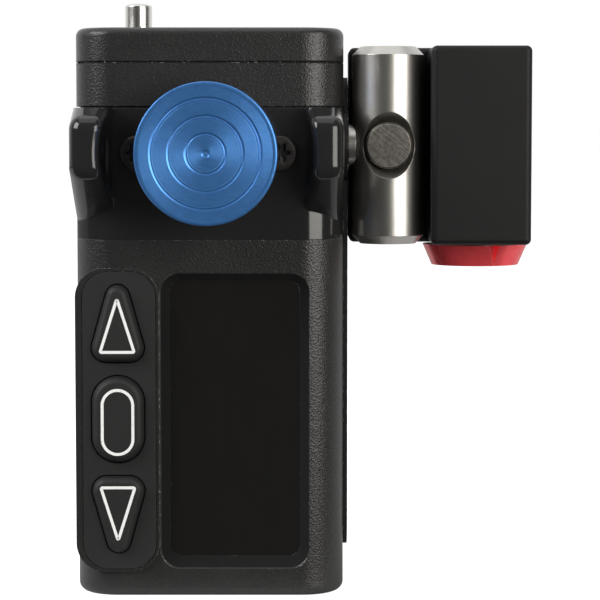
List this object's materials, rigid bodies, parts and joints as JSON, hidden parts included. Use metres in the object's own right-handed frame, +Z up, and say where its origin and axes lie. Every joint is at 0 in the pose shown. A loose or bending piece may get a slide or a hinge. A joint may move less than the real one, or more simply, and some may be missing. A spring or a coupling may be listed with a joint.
{
  "type": "zoom control handle",
  "caption": "Palm-sized zoom control handle with thumb rocker, keypad and display, on a tilting bracket that clamps a rod.",
  "frame": {"origin": "middle of the handle's flat base, under the middle of its width and depth", "axes": "+Z up along the handle, +X across it towards the bracket, the display and the knob face -Y"},
  "size_m": [0.0819, 0.048, 0.1064],
  "materials": {
    "powder_coat": "fine-textured black powder coat",
    "gloss_black": "smooth glossy black moulding",
    "black_anodised": "matte black anodised",
    "blue_anodised": "bead-blasted blue anodised, turned rings",
    "red_anodised": "smooth red anodised",
    "turned_steel": "fine turned stainless steel",
    "plated_steel": "bright nickel plate",
    "black_steel": "black oxide",
    "spring_steel": "plain spring wire",
    "bronze": "plain bearing bronze",
    "black_rubber": "matte black silicone",
    "smoked_window": "smoked, glossy, nearly black",
    "board": "green circuit board",
    "dark_plastic": "moulded black plastic",
    "panel": "dark display panel, switched off",
    "white_print": "white printed key marks"
  },
  "bodies": {
    "handle": {"main_housing": "powder_coat", "joystick_module": "gloss_black", "upper_housing": "powder_coat", "top_cap": "powder_coat", "module_gasket": "black_rubber", "cap_gasket": "black_rubber", "display_window": "smoked_window", "display_panel": "panel", "display_board": "board", "keypad_mat": "black_rubber", "keypad_board": "board", "key_switches": "dark_plastic", "main_board": "board", "board_standoffs": "bronze", "board_screws": "spring_steel", "rear_cover": "powder_coat", "rear_cover_screws": "black_steel", "control_socket": "plated_steel", "socket_nut": "plated_steel", "socket_insert": "dark_plastic", "pivot_block": "black_anodised", "pivot_pin": "turned_steel", "pin_clip": "spring_steel", "centring_spring": "spring_steel", "sensor_board": "board", "module_screws": "black_steel", "button_bush": "black_steel", "run_switch": "dark_plastic", "switch_board": "board", "button_spring": "spring_steel", "tie_screws": "spring_steel", "cap_screws": "black_steel", "side_mount_plate": "black_anodised", "side_plate_screws": "black_steel", "tilt_bush": "bronze"},
    "joystick": {"knob": "blue_anodised", "knob_set_screw": "black_steel", "rocker_arm": "spring_steel", "rocker_magnet": "plated_steel"},
    "up_key": {"up_key": "black_rubber"},
    "select_key": {"select_key": "black_rubber"},
    "down_key": {"down_key": "black_rubber"},
    "run_button": {"run_button": "plated_steel"},
    "bracket": {"bracket_block": "black_anodised", "swivel_post": "turned_steel", "cross_dowel": "turned_steel", "pivot_stud": "turned_steel", "saddle_washer": "turned_steel", "tilt_spring_washer": "spring_steel", "post_screws": "black_steel", "screw_bush": "bronze", "thrust_washer": "spring_steel"},
    "clamp_knob": {"clamp_knob": "red_anodised", "clamp_screw": "spring_steel", "screw_clip": "spring_steel"},
    "clamp_shoe": {"clamp_shoe": "bronze"}
  },
  "joints": [
    {"name": "zoom_rock", "type": "hinge", "parent": "handle", "child": "joystick", "pos_m": [0, -0.004, 0.0794], "axis": [0, 0, 1], "range_deg": [-7, 7], "stiffness_Nm_per_rad": 0.15},
    {"name": "up_press", "type": "slide", "parent": "handle", "child": "up_key", "axis": [0, 1, 0], "range_m": [0, 0.0007], "stiffness_N_per_m": 600, "springref_m": -0.0003},
    {"name": "select_press", "type": "slide", "parent": "handle", "child": "select_key", "axis": [0, 1, 0], "range_m": [0, 0.0007], "stiffness_N_per_m": 600, "springref_m": -0.0003},
    {"name": "down_press", "type": "slide", "parent": "handle", "child": "down_key", "axis": [0, 1, 0], "range_m": [0, 0.0007], "stiffness_N_per_m": 600, "springref_m": -0.0003},
    {"name": "run_press", "type": "slide", "parent": "handle", "child": "run_button", "axis": [0, 0, -1], "range_m": [0, 0.0015], "stiffness_N_per_m": 1100, "springref_m": -0.0005, "deforming": ["button_spring"]},
    {"name": "handle_tilt", "type": "hinge", "parent": "handle", "child": "bracket", "pos_m": [0.0248, -0.0085, 0.08075], "axis": [1, 0, 0], "continuous": true},
    {"name": "clamp_turn", "type": "hinge", "parent": "bracket", "child": "clamp_knob", "pos_m": [0.04835, -0.0011, 0.0608], "axis": [0, 0, 1], "range_deg": [0, 540]},
    {"name": "shoe_lift", "type": "slide", "parent": "bracket", "child": "clamp_shoe", "axis": [0, 0, 1], "range_m": [0, 0.0015]}
  ],
  "couplings": [
    {"joint": "shoe_lift", "follows": "clamp_turn", "m_per_rad": 0.00015915}
  ]
}
